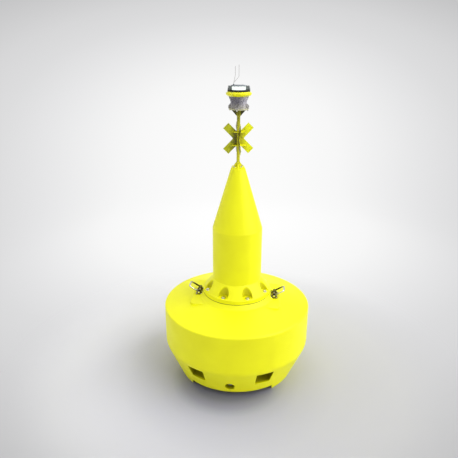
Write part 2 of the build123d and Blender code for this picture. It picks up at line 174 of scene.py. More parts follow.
def add_node(tree, kind, inputs=None, **settings):
    """Add a node with its settings, and set or link its inputs."""
    node = tree.nodes.new(kind)
    for name, value in settings.items():
        setattr(node, name, value)
    for name, value in (inputs or {}).items():
        if isinstance(value, bpy.types.NodeSocket):
            tree.links.new(value, node.inputs[name])
        else:
            node.inputs[name].default_value = value
    return node


def start_material(name, **sockets):
    """New material with a Principled shader; returns the material, its tree and the shader."""
    material = bpy.data.materials.new(name)
    material.use_nodes = True
    tree = material.node_tree
    shader = tree.nodes["Principled BSDF"]
    for socket, value in sockets.items():
        shader.inputs[socket.replace("_", " ")].default_value = value
    return material, tree, shader


def set_stops(ramp, stops):
    """Give a colour ramp its stops, each a position and a hex colour."""
    elements = ramp.color_ramp.elements
    while len(elements) < len(stops):
        elements.new(0.5)
    for element, (position, tone) in zip(elements, stops):
        element.position = position
        element.color = linear(tone)


def lay_over(material, share, tone):
    """Lay a tone over the material's colour; share is a socket, and tone a socket or a colour."""
    tree = material.node_tree
    shader = tree.nodes["Principled BSDF"]
    coat = shader.inputs["Base Color"].links[0].from_socket
    mixed = add_node(
        tree, "ShaderNodeMix", {"Factor": share, "A": coat, "B": tone}, data_type="RGBA")
    tree.links.new(mixed.outputs["Result"], shader.inputs["Base Color"])


def from_mast(tree, place):
    """Distance from the mast line."""
    level = add_node(
        tree, "ShaderNodeVectorMath", {0: place, 1: (1.0, 1.0, 0.0)}, operation="MULTIPLY")
    out = add_node(tree, "ShaderNodeVectorMath", {0: level.outputs["Vector"]}, operation="LENGTH")
    return out.outputs["Value"]


def finish(name, tones, cloud, gloss, grain, depth, **sockets):
    """Material whose two tones and gloss drift in clouds, over a fine grain; millimetres."""
    material, tree, shader = start_material(name, **sockets)
    place = add_node(tree, "ShaderNodeTexCoord").outputs["Object"]
    clouds = add_node(
        tree, "ShaderNodeTexNoise", {"Vector": place, "Scale": per_mm(cloud), "Detail": 2.0})
    drift = add_node(tree, "ShaderNodeMapRange", {
        "Value": clouds.outputs["Fac"], "From Min": NOISE_LOW, "From Max": NOISE_HIGH})
    colour = add_node(tree, "ShaderNodeValToRGB", {"Fac": drift.outputs["Result"]})
    set_stops(colour, list(zip((0.0, 1.0), tones)))
    sheen = add_node(tree, "ShaderNodeMapRange", {
        "Value": clouds.outputs["Fac"], "From Min": NOISE_LOW, "From Max": NOISE_HIGH,
        "To Min": gloss[0], "To Max": gloss[1]})
    grains = add_node(
        tree, "ShaderNodeTexNoise", {"Vector": place, "Scale": per_mm(grain), "Detail": 2.0})
    relief = add_node(
        tree, "ShaderNodeBump", {"Height": grains.outputs["Fac"], "Distance": depth * MM})
    tree.links.new(colour.outputs["Color"], shader.inputs["Base Color"])
    tree.links.new(sheen.outputs["Result"], shader.inputs["Roughness"])
    tree.links.new(relief.outputs["Normal"], shader.inputs["Normal"])
    return material


def paint_recess_shade(material, tone, cone):
    """Darken what lies inside a cone between two heights: painted shade in a moulding's recesses.
    """
    tree = material.node_tree
    place = add_node(tree, "ShaderNodeTexCoord").outputs["Object"]
    height = add_node(tree, "ShaderNodeSeparateXYZ", {"Vector": place}).outputs["Z"]
    slope = (cone["high_radius"] - cone["low_radius"]) / (cone["high"] - cone["low"])
    face = add_node(
        tree, "ShaderNodeMath",
        {0: height, 1: slope, 2: (cone["low_radius"] - slope * cone["low"]) * MM},
        operation="MULTIPLY_ADD")
    depth = add_node(
        tree, "ShaderNodeMath", {0: face.outputs["Value"], 1: from_mast(tree, place)},
        operation="SUBTRACT")
    deep = add_node(tree, "ShaderNodeMapRange", {
        "Value": depth.outputs["Value"],
        "From Min": cone["start"] * MM, "From Max": cone["full"] * MM})
    below = add_node(
        tree, "ShaderNodeMath", {0: height, 1: cone["high"] * MM}, operation="LESS_THAN")
    above = add_node(
        tree, "ShaderNodeMath", {0: height, 1: cone["low"] * MM}, operation="GREATER_THAN")
    between = add_node(
        tree, "ShaderNodeMath", {0: below.outputs["Value"], 1: above.outputs["Value"]},
        operation="MULTIPLY")
    recess_shade_share = add_node(
        tree, "ShaderNodeMath", {0: deep.outputs["Result"], 1: between.outputs["Value"]},
        operation="MULTIPLY")
    lay_over(material, recess_shade_share.outputs["Value"], linear(tone))
    return material


def moulded_polyethylene(part):
    """Rotomoulded polyethylene: strong yellow, satin, with slow waves and a fine orange peel."""
    material = finish(
        f"rotomoulded_polyethylene_{part}", ("#FAF90C", "#F4F206"), cloud=260,
        gloss=(0.42, 0.50), grain=5, depth=0.05, IOR=1.51, Specular_IOR_Level=0.35)
    tree = material.node_tree
    place = add_node(tree, "ShaderNodeTexCoord").outputs["Object"]
    waves = add_node(tree, "ShaderNodeTexNoise", {
        "Vector": place, "Scale": per_mm(WALL_WAVE["length"]), "Detail": 1.0})
    swell = add_node(tree, "ShaderNodeBump", {
        "Height": waves.outputs["Fac"], "Distance": WALL_WAVE["depth"] * MM})
    peel = next(node for node in tree.nodes if node.type == "BUMP" and node != swell)
    tree.links.new(swell.outputs["Normal"], peel.inputs["Normal"])
    return material


def powder_coated_steel():
    """Powder coated steel plate: the same yellow, a little deeper, with a fine orange peel."""
    return finish(
        "powder_coated_steel_yellow", ("#F2EE14", "#E8E410"), cloud=60, gloss=(0.28, 0.38),
        grain=2.5, depth=0.04, IOR=1.5)


def topmark_steel_painted_shade():
    """Powder coated topmark wings: bright yellow, with painted shade on the left and by the mast.
    """
    material = finish(
        "powder_coated_steel_topmark", ("#F6F80E", "#ECEE0C"), cloud=60, gloss=(0.28, 0.38),
        grain=2.5, depth=0.04, IOR=1.5)
    tree = material.node_tree
    place = add_node(tree, "ShaderNodeTexCoord").outputs["Object"]
    across = (math.cos(math.radians(WING_TURN)), math.sin(math.radians(WING_TURN)), 0.0)
    side = add_node(tree, "ShaderNodeVectorMath", {0: place, 1: across}, operation="DOT_PRODUCT")
    band = add_node(tree, "ShaderNodeMapRange", {
        "Value": side.outputs["Value"], "From Min": -WING_BAND * MM, "From Max": WING_BAND * MM})
    # painted shade on the left wing and on the left faces of the front and back wings
    shaded_tone = add_node(tree, "ShaderNodeValToRGB", {"Fac": band.outputs["Result"]})
    shaded_tone.color_ramp.interpolation = "CONSTANT"
    set_stops(shaded_tone, WING_SHADE_TONES)
    left = add_node(
        tree, "ShaderNodeMath", {0: side.outputs["Value"], 1: 0.0}, operation="LESS_THAN")
    lay_over(material, left.outputs["Value"], shaded_tone.outputs["Color"])
    # painted shade round the mast, darker on the left
    blotch = add_node(tree, "ShaderNodeTexNoise", {
        "Vector": place, "Scale": per_mm(WING_MAST_SHADE["blotch"]), "Detail": 3.0})
    edge = add_node(
        tree, "ShaderNodeMath", {0: blotch.outputs["Fac"], 1: WING_MAST_SHADE["ragged"] * MM},
        operation="MULTIPLY")
    ragged = add_node(
        tree, "ShaderNodeMath", {0: from_mast(tree, place), 1: edge.outputs["Value"]},
        operation="SUBTRACT")
    mast_shade = add_node(tree, "ShaderNodeMapRange", {
        "Value": ragged.outputs["Value"], "From Min": WING_MAST_SHADE["full"] * MM,
        "From Max": WING_MAST_SHADE["gone"] * MM, "To Min": 1.0, "To Max": 0.0})
    mast_shade_tone = add_node(
        tree, "ShaderNodeMix",
        {"Factor": left.outputs["Value"], "A": linear("#B4B00A"), "B": linear("#706C06")},
        data_type="RGBA")
    lay_over(material, mast_shade.outputs["Result"], mast_shade_tone.outputs["Result"])
    return material


def mast_pipe_painted_shade():
    """Powder coated mast pipe: the same yellow, a little darker, with painted shade below its head.
    """
    material = finish(
        "powder_coated_steel_pipe", ("#D8D40C", "#C8C408"), cloud=45, gloss=(0.25, 0.36),
        grain=2.5, depth=0.04, IOR=1.5)
    tree = material.node_tree
    place = add_node(tree, "ShaderNodeTexCoord").outputs["Object"]
    height = add_node(tree, "ShaderNodeSeparateXYZ", {"Vector": place}).outputs["Z"]
    head_shade = add_node(tree, "ShaderNodeMapRange", {
        "Value": height, "From Min": MAST_HEAD_SHADE[0] * MM, "From Max": MAST_HEAD_SHADE[1] * MM})
    # painted shade under the lantern's head plate
    lay_over(material, head_shade.outputs["Result"], linear("#9C9A0A"))
    return material


def zinc_plate():
    """Galvanised head plate: pale zinc with a cream cast and a faint spangle."""
    return finish(
        "galvanised_steel_pale", ("#D8D6B4", "#C4C29C"), cloud=14, gloss=(0.30, 0.44),
        grain=3, depth=0.03, Metallic=0.35)


def passivated_zinc():
    """Zinc plated steel with a yellow passivation: olive gold, half gloss, cloudy from the bath."""
    return finish(
        "zinc_yellow_passivated", ("#B6B05A", "#9A944C"), cloud=22, gloss=(0.24, 0.38),
        grain=3, depth=0.03, Metallic=1.0)


def stainless_weld():
    """Weld beads on stainless steel: duller than the plate, straw coloured from the heat."""
    return finish(
        "stainless_weld_straw", ("#8A7E62", "#6E6656"), cloud=5, gloss=(0.32, 0.48),
        grain=1.2, depth=0.08, Metallic=1.0)


def gusset_steel_painted_shade():
    """Yellow paint on the head gussets, dark olive all over: painted shade under the head plate."""
    return finish(
        "head_gusset_steel_painted_shade", ("#565200", "#4A4600"), cloud=35, gloss=(0.28, 0.40),
        grain=6, depth=0.06, IOR=1.5)


def brushed_stainless():
    """Brushed stainless steel: grey metal with fine level scratches that stretch the highlights."""
    material, tree, shader = start_material("brushed_stainless_steel", Metallic=1.0)
    place = add_node(tree, "ShaderNodeTexCoord").outputs["Object"]
    stretched = add_node(
        tree, "ShaderNodeMapping", {"Vector": place, "Scale": (1.0, 1.0, BRUSH["stretch"])})
    scratches = add_node(tree, "ShaderNodeTexNoise", {
        "Vector": stretched.outputs["Vector"], "Scale": per_mm(BRUSH["length"]), "Detail": 6.0})
    colour = add_node(tree, "ShaderNodeValToRGB", {"Fac": scratches.outputs["Fac"]})
    set_stops(colour, [(NOISE_LOW, "#8E8A80"), (NOISE_HIGH, "#AEAAA2")])
    sheen = add_node(tree, "ShaderNodeMapRange", {
        "Value": scratches.outputs["Fac"], "From Min": NOISE_LOW, "From Max": NOISE_HIGH,
        "To Min": BRUSH["gloss"][0], "To Max": BRUSH["gloss"][1]})
    relief = add_node(tree, "ShaderNodeBump", {
        "Height": scratches.outputs["Fac"], "Distance": BRUSH["depth"] * MM})
    tree.links.new(colour.outputs["Color"], shader.inputs["Base Color"])
    tree.links.new(sheen.outputs["Result"], shader.inputs["Roughness"])
    tree.links.new(relief.outputs["Normal"], shader.inputs["Normal"])
    return material


def polished_stainless(part):
    """Polished stainless rod and turned bolts: bright, with faint marks in the reflections."""
    return finish(
        f"polished_stainless_steel_{part}", ("#ECEAE6", "#DEDCD8"), cloud=9, gloss=(0.12, 0.22),
        grain=4, depth=0.02, Metallic=1.0)


def bow_painted_reflection():
    """Polished stainless bow: bright at the crown, with a painted dark reflection on its legs."""
    material = polished_stainless("bow")
    tree = material.node_tree
    place = add_node(tree, "ShaderNodeTexCoord").outputs["Object"]
    parts = add_node(tree, "ShaderNodeSeparateXYZ", {"Vector": place})
    out = add_node(tree, "ShaderNodeMath", {0: parts.outputs["X"]}, operation="ABSOLUTE")
    outward = add_node(
        tree, "ShaderNodeMath",
        {0: parts.outputs["Y"], 1: BOW_DARK_LEGS["lean"], 2: out.outputs["Value"]},
        operation="MULTIPLY_ADD")
    dark_legs = add_node(tree, "ShaderNodeMapRange", {
        "Value": outward.outputs["Value"], "From Min": BOW_DARK_LEGS["full"] * MM,
        "From Max": BOW_DARK_LEGS["gone"] * MM, "To Min": 1.0, "To Max": 0.0})
    lay_over(material, dark_legs.outputs["Result"], linear("#4A461E"))
    return material


def housing_asa_painted_light():
    """Moulded ASA housing: violet grey, satin, with painted light on its right side, paler at the
    foot.
    """
    material = finish(
        "moulded_asa_grey", ("#76727C", "#706C76"), cloud=30, gloss=(0.26, 0.36), grain=1.2,
        depth=0.05, IOR=1.52, Specular_IOR_Level=0.8)
    tree = material.node_tree
    place = add_node(tree, "ShaderNodeTexCoord").outputs["Object"]
    parts = add_node(tree, "ShaderNodeSeparateXYZ", {"Vector": place})
    lit_side = add_node(tree, "ShaderNodeMapRange", {
        "Value": parts.outputs["X"],
        "From Min": LIT_SIDE[0] * MM, "From Max": LIT_SIDE[1] * MM})
    # painted light: the housing's right side lighter
    lay_over(material, lit_side.outputs["Result"], linear("#BEBAC4"))
    paler_foot = add_node(tree, "ShaderNodeMapRange", {
        "Value": parts.outputs["Z"], "From Min": PALE_FOOT["full"] * MM,
        "From Max": PALE_FOOT["gone"] * MM, "To Min": PALE_FOOT["share"], "To Max": 0.0})
    lay_over(material, paler_foot.outputs["Result"], linear("#B4B0A8"))
    return material


def glossy_asa():
    """Injection moulded ASA ring: yellow, glossier than the float, nearly smooth."""
    return finish(
        "moulded_asa_yellow", ("#F8F408", "#EEEA04"), cloud=40, gloss=(0.26, 0.34), grain=9,
        depth=0.05, IOR=1.52, Specular_IOR_Level=0.35)


def gasket_rubber():
    """EPDM gasket: near black, matte, with a dusty bloom."""
    return finish(
        "epdm_rubber_black", ("#26241A", "#37352A"), cloud=8, gloss=(0.70, 0.85), grain=1.5,
        depth=0.05, IOR=1.5)


def sealant_painted_shade():
    """Tooled bead of polyurethane sealant, matte; its dark olive tone is painted shade in the
    joint.
    """
    return finish(
        "joint_sealant_olive_painted_shade", ("#86820F", "#767210"), cloud=12, gloss=(0.55, 0.70),
        grain=3, depth=0.10, IOR=1.5)


def opal_acrylic_painted_glow():
    """Opal acrylic light unit: plain bright white with a faint haze, and a painted glow."""
    return finish(
        "opal_acrylic_white", ("#F6F6F8", "#ECECF0"), cloud=18, gloss=(0.30, 0.40), grain=3,
        # the emission is painted light, for the light that reaches the unit through the lens
        depth=0.01, IOR=1.49, Emission_Color=linear("#FFFFFF"), Emission_Strength=2.7)


def smoky_polycarbonate():
    """Clear polycarbonate with a slate tint that darkens the wall where it is seen edge on."""
    return finish(
        "clear_polycarbonate_slate", ("#AAB0AC", "#A3A9A6"), cloud=20, gloss=(0.03, 0.07),
        grain=25, depth=0.05, IOR=1.58, Transmission_Weight=1.0)


def slate_asa():
    """Moulded ASA cap: dark slate blue, satin."""
    return finish(
        "moulded_asa_slate", ("#7F868C", "#70777D"), cloud=15, gloss=(0.42, 0.52), grain=1.5,
        depth=0.04, IOR=1.52)


def seen_directly(tree):
    """1 for rays from the camera, off gloss or through glass; 0 for light that surfaces pass on."""
    path = add_node(tree, "ShaderNodeLightPath")
    mirrored = add_node(
        tree, "ShaderNodeMath",
        {0: path.outputs["Is Glossy Ray"], 1: path.outputs["Is Transmission Ray"]},
        operation="ADD", use_clamp=True)
    seen = add_node(
        tree, "ShaderNodeMath",
        {0: path.outputs["Is Camera Ray"], 1: mirrored.outputs["Value"]},
        operation="ADD", use_clamp=True)
    return seen.outputs["Value"]


def studio_paper():
    """Pale seamless paper: it takes the buoy's shadow near by, deepened with painted shade, and
    shows a painted pool of light farther off.
    """
    material, tree, shader = start_material(
        "seamless_paper_white", Specular_IOR_Level=0.0, Roughness=1.0)
    place = add_node(tree, "ShaderNodeTexCoord").outputs["Object"]
    scaled = add_node(tree, "ShaderNodeMapping", {
        "Vector": place,
        "Location": tuple(-m / r for m, r in zip(POOL_MIDDLE, POOL_REACH)),
        "Scale": tuple(1 / r for r in POOL_REACH),
    })
    far = add_node(tree, "ShaderNodeVectorMath", {0: scaled.outputs["Vector"]}, operation="LENGTH")
    ramp = add_node(tree, "ShaderNodeValToRGB", {"Fac": far.outputs["Value"]})
    set_stops(ramp, POOL_GREYS)
    pool_light = add_node(
        tree, "ShaderNodeEmission", {"Color": ramp.outputs["Color"], "Strength": 1.0})

    beyond = add_node(
        tree, "ShaderNodeMapRange",
        {"Value": from_mast(tree, place), "From Min": SHADOW_REACH[0], "From Max": SHADOW_REACH[1]},
        interpolation_type="SMOOTHSTEP")
    seen = seen_directly(tree)
    near, far_off = PAPER_BOUNCE
    bounce = add_node(
        tree, "ShaderNodeMix",
        {"Factor": beyond.outputs["Result"], "A": linear(near), "B": linear(far_off)},
        data_type="RGBA")
    away = add_node(
        tree, "ShaderNodeVectorMath", {0: place, 1: SHADE_MIDDLE}, operation="DISTANCE")
    reach = add_node(
        tree, "ShaderNodeMath", {0: away.outputs["Value"], 1: SHADE_FAR}, operation="DIVIDE")
    shade = add_node(tree, "ShaderNodeValToRGB", {"Fac": reach.outputs["Value"]})
    set_stops(shade, SHADE_GREYS)
    paper = add_node(
        tree, "ShaderNodeMix",
        {"Factor": seen, "A": bounce.outputs["Result"], "B": shade.outputs["Color"]},
        data_type="RGBA")
    tree.links.new(paper.outputs["Result"], shader.inputs["Base Color"])
    share = add_node(
        tree, "ShaderNodeMath", {0: seen, 1: beyond.outputs["Result"]}, operation="MULTIPLY")
    blend = add_node(tree, "ShaderNodeMixShader", {
        0: share.outputs["Value"], 1: shader.outputs["BSDF"], 2: pool_light.outputs["Emission"]})
    tree.links.new(blend.outputs["Shader"], tree.nodes["Material Output"].inputs["Surface"])
    return material


# Modelling


def named(piece, name):
    """Name a piece and its mesh."""
    piece.name = name
    piece.data.name = name
    return piece


def select_only(piece):
    """Select one piece and make it the active one."""
    bpy.ops.object.select_all(action="DESELECT")
    piece.select_set(True)
    bpy.context.view_layer.objects.active = piece


def start_piece(name, primitive, **settings):
    """Deselect everything, add a primitive and name it."""
    bpy.ops.object.select_all(action="DESELECT")
    primitive(**settings)
    return named(bpy.context.object, name)


def settle(piece):
    """Put the piece's place into its mesh."""
    select_only(piece)
    bpy.ops.object.transform_apply(location=True, rotation=True, scale=True)
    return piece


def copied(piece, name, place):
    """Copy a piece with its own mesh and put it in place."""
    twin = piece.copy()
    twin.data = piece.data.copy()
    named(twin, name)
    twin.data.transform(place)
    bpy.context.collection.objects.link(twin)
    return twin


def finish_piece(piece, material, body, smooth=SMOOTH):
    """Give a piece its material, shading and body."""
    piece.data.materials.clear()
    piece.data.materials.append(material)
    select_only(piece)
    bpy.ops.object.shade_smooth_by_angle(angle=math.radians(smooth))
    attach(piece, body)


def pick(piece, kind, test):
    """Enter edit mode with only the faces, edges or vertices that pass a test selected."""
    select_only(piece)
    bpy.ops.object.mode_set(mode="EDIT")
    bpy.ops.mesh.select_mode(type=kind)
    bpy.ops.mesh.select_all(action="DESELECT")
    bpy.ops.object.mode_set(mode="OBJECT")
    parts = {"FACE": piece.data.polygons, "EDGE": piece.data.edges, "VERT": piece.data.vertices}
    for part in parts[kind]:
        part.select = test(part)
    bpy.ops.object.mode_set(mode="EDIT")


def at_height(piece, height):
    """Test for edges that lie level at a height, in millimetres."""
    return lambda edge: all(
        abs(piece.data.vertices[v].co.z - height * MM) < NEAR * MM for v in edge.vertices)


def bevel_level(piece, height, edge):
    """Bevel the edges that lie level at a height; millimetres."""
    pick(piece, "EDGE", at_height(piece, height))
    bpy.ops.mesh.bevel(offset=edge * MM, segments=2, affect="EDGES")
    bpy.ops.object.mode_set(mode="OBJECT")


def joined(pieces, name):
    """Join pieces into one."""
    bpy.ops.object.select_all(action="DESELECT")
    for piece in pieces:
        piece.select_set(True)
    bpy.context.view_layer.objects.active = pieces[0]
    if len(pieces) > 1:
        bpy.ops.object.join()
    return named(bpy.context.object, name)


def set_out(piece, name, places):
    """Copy a piece to each place and join the copies into one."""
    twins = [copied(piece, f"{name}_{number}", place) for number, place in enumerate(places)]
    bpy.data.objects.remove(piece)
    return joined(twins, name)


def round_mast(count, radius, seat, turn, tip=0.0):
    """Places on a circle round the mast line, counted from the front; tip turns heads down."""
    return [
        Matrix.Rotation(math.radians(turn + i * 360 / count), 4, "Z")
        @ Matrix.Translation((0, -radius * MM, seat * MM))
        @ Matrix.Rotation(math.radians(tip), 4, "X")
        for i in range(count)]


def model_plate(name, radius, thick, seat, sides=ROUND, edge=PLATE_EDGE):
    """Round plate with a bevelled upper edge, standing on a height; millimetres."""
    plate = settle(start_piece(
        name, bpy.ops.mesh.primitive_cylinder_add, vertices=sides, radius=radius * MM,
        depth=thick * MM, location=(0, 0, (seat + thick / 2) * MM)))
    bevel_level(plate, seat + thick, edge)
    return plate


def model_bolt(name, flats, height, washer=0.0, washer_thick=0.0, stud=0.0, stud_past=0.0):
    """Hexagon head or nut with turned corners, its washer and the bolt's end; stands on z = 0."""
    seat = washer_thick
    head = settle(start_piece(
        name, bpy.ops.mesh.primitive_cylinder_add, vertices=6, radius=flats / TAN_60 * MM,
        depth=height * MM, location=(0, 0, (seat + height / 2) * MM)))
    # a cone takes the corners off at 30 degrees
    drop = height * HEX_CONE
    cone = settle(start_piece(
        f"{name}_cone", bpy.ops.mesh.primitive_cone_add, vertices=ROUND,
        radius1=(flats * HEX_TOP + drop * TAN_60) * MM, radius2=flats * HEX_TOP * MM,
        depth=drop * MM, location=(0, 0, (seat + height - drop / 2) * MM)))
    cut = head.modifiers.new("turned", "BOOLEAN")
    cut.operation = "INTERSECT"
    cut.solver = "EXACT"
    cut.object = cone
    select_only(head)
    bpy.ops.object.modifier_apply(modifier=cut.name)
    bpy.data.objects.remove(cone)
    parts = [head]
    if washer:
        parts.append(model_plate(f"{name}_washer", washer, washer_thick, 0))
    if stud:
        parts.append(model_plate(
            f"{name}_stud", stud, height / 2 + stud_past, seat + height / 2, SMALL_ROUND,
            STUD_EDGE))
    return joined(parts, name)


def build_round_mast(name, facts, material, node=None, tip=0.0):
    """Bolts or nuts on a circle round the mast line."""
    sizes = ("flats", "height", "washer", "washer_thick", "stud", "stud_past")
    form = {key: facts[key] for key in sizes if key in facts}
    bolts = set_out(model_bolt(name, **form), name, round_mast(
        facts["count"], facts["radius"], facts["seat"], facts["turn"], tip))
    finish_piece(bolts, material, "root")
    if node:
        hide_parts(node)


def build_joint():
    """Sealant between the tower's flange and its seat, dark with painted shade: a bevelled band,
    seen only at its rim.
    """
    band = settle(start_piece(
        "tower_joint", bpy.ops.mesh.primitive_cylinder_add, vertices=JOINT["sides"],
        radius=JOINT["radius"] * MM, depth=JOINT["thick"] * MM,
        location=(0, 0, (JOINT["low"] + JOINT["thick"] / 2) * MM)))
    for height in (JOINT["low"], JOINT["low"] + JOINT["thick"]):
        bevel_level(band, height, JOINT["edge"])
    # the disc is opened up, and a wall closes the band on its inside
    pick(band, "FACE", lambda face: abs(face.normal.z) > LEVEL)
    bpy.ops.mesh.inset(thickness=JOINT["width"] * MM)
    bpy.ops.mesh.delete(type="FACE")
    bpy.ops.object.mode_set(mode="OBJECT")
    inside = (JOINT["radius"] - JOINT["width"] / 2) * MM
    pick(band, "EDGE", lambda edge: all(
        band.data.vertices[v].co.xy.length < inside for v in edge.vertices))
    bpy.ops.mesh.bridge_edge_loops()
    bpy.ops.object.mode_set(mode="OBJECT")
    finish_piece(band, sealant_painted_shade(), "root")


def build_cap_screws():
    """Pan head screws with a round socket, set round the lantern's cap."""
    screw = model_plate(
        "cap_screws", CAP_SCREWS["across"] / 2, CAP_SCREWS["height"], 0, SMALL_ROUND,
        CAP_SCREWS["edge"])
    pick(screw, "FACE", lambda face: face.normal.z > LEVEL)
    bpy.ops.mesh.inset(thickness=CAP_SCREWS["socket"] * MM)
    bpy.ops.mesh.extrude_region_move(
        TRANSFORM_OT_translate={"value": (0, 0, -CAP_SCREWS["socket"] * MM)})
    bpy.ops.object.mode_set(mode="OBJECT")
    screws = set_out(screw, "cap_screws", round_mast(
        CAP_SCREWS["count"], CAP_SCREWS["radius"], CAP_SCREWS["seat"], CAP_SCREWS["turn"]))
    finish_piece(screws, POLISHED, "root")


def build_bracket_bolts(side, turn):
    """Four heads on the base plate of a lifting bracket."""
    name = f"bracket_bolts_{side}"
    places = [
        Matrix.Translation((
            (turn * BRACKET_X + x * BRACKET_BOLTS["x"]) * MM,
            y * BRACKET_BOLTS["y"] * MM,
            BRACKET_SEAT * MM))
        for x in (-1, 1) for y in (-1, 1)]
    bolt = model_bolt(name, BRACKET_BOLTS["flats"], BRACKET_BOLTS["height"])
    bolts = set_out(bolt, name, places)
    finish_piece(bolts, POLISHED, "root")
    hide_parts(f"lifting_bolts_{side}")


def build_pin(side, turn):
    """Hinge bolt of a lifting bow: shank, head and nut."""
    name = f"hinge_bolt_{side}"
    reach = PIN["half"] + PIN["height"] + PIN["past"]
    shank = settle(start_piece(
        f"{name}_shank", bpy.ops.mesh.primitive_cylinder_add, vertices=PIN["sides"],
        radius=PIN["radius"] * MM, depth=2 * reach * MM))
    for end in (-1, 1):
        bevel_level(shank, end * reach, PIN["edge"])
    heads = set_out(model_bolt(f"{name}_head", PIN["flats"], PIN["height"]), f"{name}_heads", [
        Matrix.Rotation(turned, 4, "X") @ Matrix.Translation((0, 0, PIN["half"] * MM))
        for turned in (0, math.pi)])
    pin = joined([shank, heads], name)
    pin.data.transform(
        Matrix.Translation((turn * BRACKET_X * MM, 0, HINGE_Z * MM))
        @ Matrix.Rotation(math.pi / 2, 4, "X"))
    finish_piece(pin, POLISHED, "root")
    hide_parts(f"lifting_pin_{side}")


def build_mooring_bar():
    """Bar from front to back with a turned thread and a nut at each end."""
    plain = BAR["half"] - BAR["pitch"] * BAR["turns"]
    bar = settle(start_piece(
        "threaded_mooring_bar", bpy.ops.mesh.primitive_cylinder_add, vertices=BAR["sides"],
        radius=BAR["radius"] * MM, depth=2 * plain * MM))
    step = BAR["pitch"] / 2 * MM
    for end in (-1, 1):
        pick(bar, "FACE", lambda face: face.normal.z * end > LEVEL)
        for turn in range(BAR["turns"]):
            # down to the root and up to the crest again, but the last turn stays down
            crest = 1 / THREAD_ROOT if turn < BAR["turns"] - 1 else 1.0
            for scale in (THREAD_ROOT, crest):
                bpy.ops.mesh.extrude_region_move(
                    TRANSFORM_OT_translate={"value": (0, 0, end * step)})
                bpy.ops.transform.resize(value=(scale, scale, 1), center_override=(0, 0, 0))
        bpy.ops.object.mode_set(mode="OBJECT")
    bar.data.transform(
        Matrix.Translation((0, 0, BAR["z"] * MM)) @ Matrix.Rotation(math.pi / 2, 4, "X"))
    finish_piece(bar, FINISHES["stainless"], "root", smooth=30.0)
    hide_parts("mooring_bar")

    nut = model_bolt(
        "mooring_bar_nuts", BAR["flats"], BAR["height"], BAR["washer"], BAR["washer_thick"])
    nuts = set_out(nut, "mooring_bar_nuts", [
        Matrix.Translation((0, 0, BAR["z"] * MM)) @ Matrix.Rotation(turned, 4, "X")
        @ Matrix.Translation((0, 0, BAR["seat"] * MM)) for turned in (math.pi / 2, -math.pi / 2)])
    finish_piece(nuts, FINISHES["stainless"], "root")
    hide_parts("mooring_nuts")


def model_bead(name, length):
    """Straight weld bead along X, from the origin, rippled across."""
    bead = settle(start_piece(
        name, bpy.ops.mesh.primitive_cylinder_add, vertices=BEAD_SIDES, radius=BEAD_RADIUS * MM,
        depth=length * MM, location=(length / 2 * MM, 0, 0), rotation=(0, math.pi / 2, 0)))
    bpy.ops.object.mode_set(mode="EDIT")
    ripples = int(length / BEAD_RIPPLE * 2)
    for i in range(1, ripples):
        bpy.ops.mesh.select_all(action="SELECT")
        bpy.ops.mesh.bisect(plane_co=(i * length / ripples * MM, 0, 0), plane_no=(1, 0, 0))
    bpy.ops.object.mode_set(mode="OBJECT")
    half_step = length / ripples * MM
    pick(bead, "VERT", lambda vertex: round(vertex.co.x / half_step) % 2 == 0)
    bpy.ops.transform.resize(value=(1, BEAD_NECK, BEAD_NECK), center_override=(0, 0, 0))
    bpy.ops.object.mode_set(mode="OBJECT")
    return bead


def build_weld_ring(name, height):
    """Weld bead round the mast at a plate."""
    segments = int(math.tau * MAST_RADIUS / BEAD_RIPPLE) * 2
    ring = settle(start_piece(
        name, bpy.ops.mesh.primitive_torus_add, location=(0, 0, height * MM),
        major_radius=MAST_RADIUS * MM, minor_radius=BEAD_RADIUS * RING_BEAD * MM,
        major_segments=segments, minor_segments=BEAD_SIDES))
    turn = math.tau / segments
    pick(ring, "VERT", lambda vertex: round(
        math.atan2(vertex.co.y, vertex.co.x) / turn) % 2 == 0)
    bpy.ops.transform.shrink_fatten(value=-RING_DIP * MM)
    bpy.ops.object.mode_set(mode="OBJECT")
    finish_piece(ring, FINISHES["mast_yellow"], "root")


def build_gusset_beads(name, face, size, up):
    """Beads on both sides of each gusset, along the plate and up or down the mast."""
    reach, height = size
    lift = Matrix.Translation((MAST_RADIUS * MM, 0, face * MM))
    stand = Matrix.Rotation(-math.pi / 2 if up else math.pi / 2, 4, "Y")
    sides = [Matrix.Translation((0, side * GUSSET_THICK / 2 * MM, 0)) for side in (-1, 1)]
    turns = [Matrix.Rotation(i * math.pi / 2, 4, "Z") for i in range(4)]
    level = set_out(model_bead(f"{name}_level", reach - MAST_RADIUS), f"{name}_level", [
        turn @ side @ lift for turn in turns for side in sides])
    risen = set_out(model_bead(f"{name}_upright", height), f"{name}_upright", [
        turn @ side @ lift @ stand for turn in turns for side in sides])
    finish_piece(joined([level, risen], name), FINISHES["mast_yellow"], "root")


def build_wing_beads():
    """Beads along the mast on both sides of each topmark wing."""
    low = WING_MIDDLE - WING_ROOT / 2
    places = [
        Matrix.Rotation(math.radians(WING_TURN + i * 90), 4, "Z")
        @ Matrix.Translation((MAST_RADIUS * MM, side * GUSSET_THICK / 2 * MM, low * MM))
        @ Matrix.Rotation(-math.pi / 2, 4, "Y")
        for i in range(4) for side in (-1, 1)]
    beads = set_out(model_bead("wing_beads", WING_ROOT), "wing_beads", places)
    finish_piece(beads, TOPMARK, "root")


def build_ear_beads(side, turn):
    """Beads on both sides of each ear, along the bracket's base plate."""
    name = f"ear_beads_{side}"
    places = [
        Matrix.Translation((
            (turn * BRACKET_X - EAR["foot"] / 2) * MM,
            (ear * EAR["middle"] + face * EAR["thick"] / 2) * MM,
            BRACKET_SEAT * MM))
        for ear in (-1, 1) for face in (-1, 1)]
    beads = set_out(model_bead(name, EAR["foot"]), name, places)
    finish_piece(beads, WELD, "root")


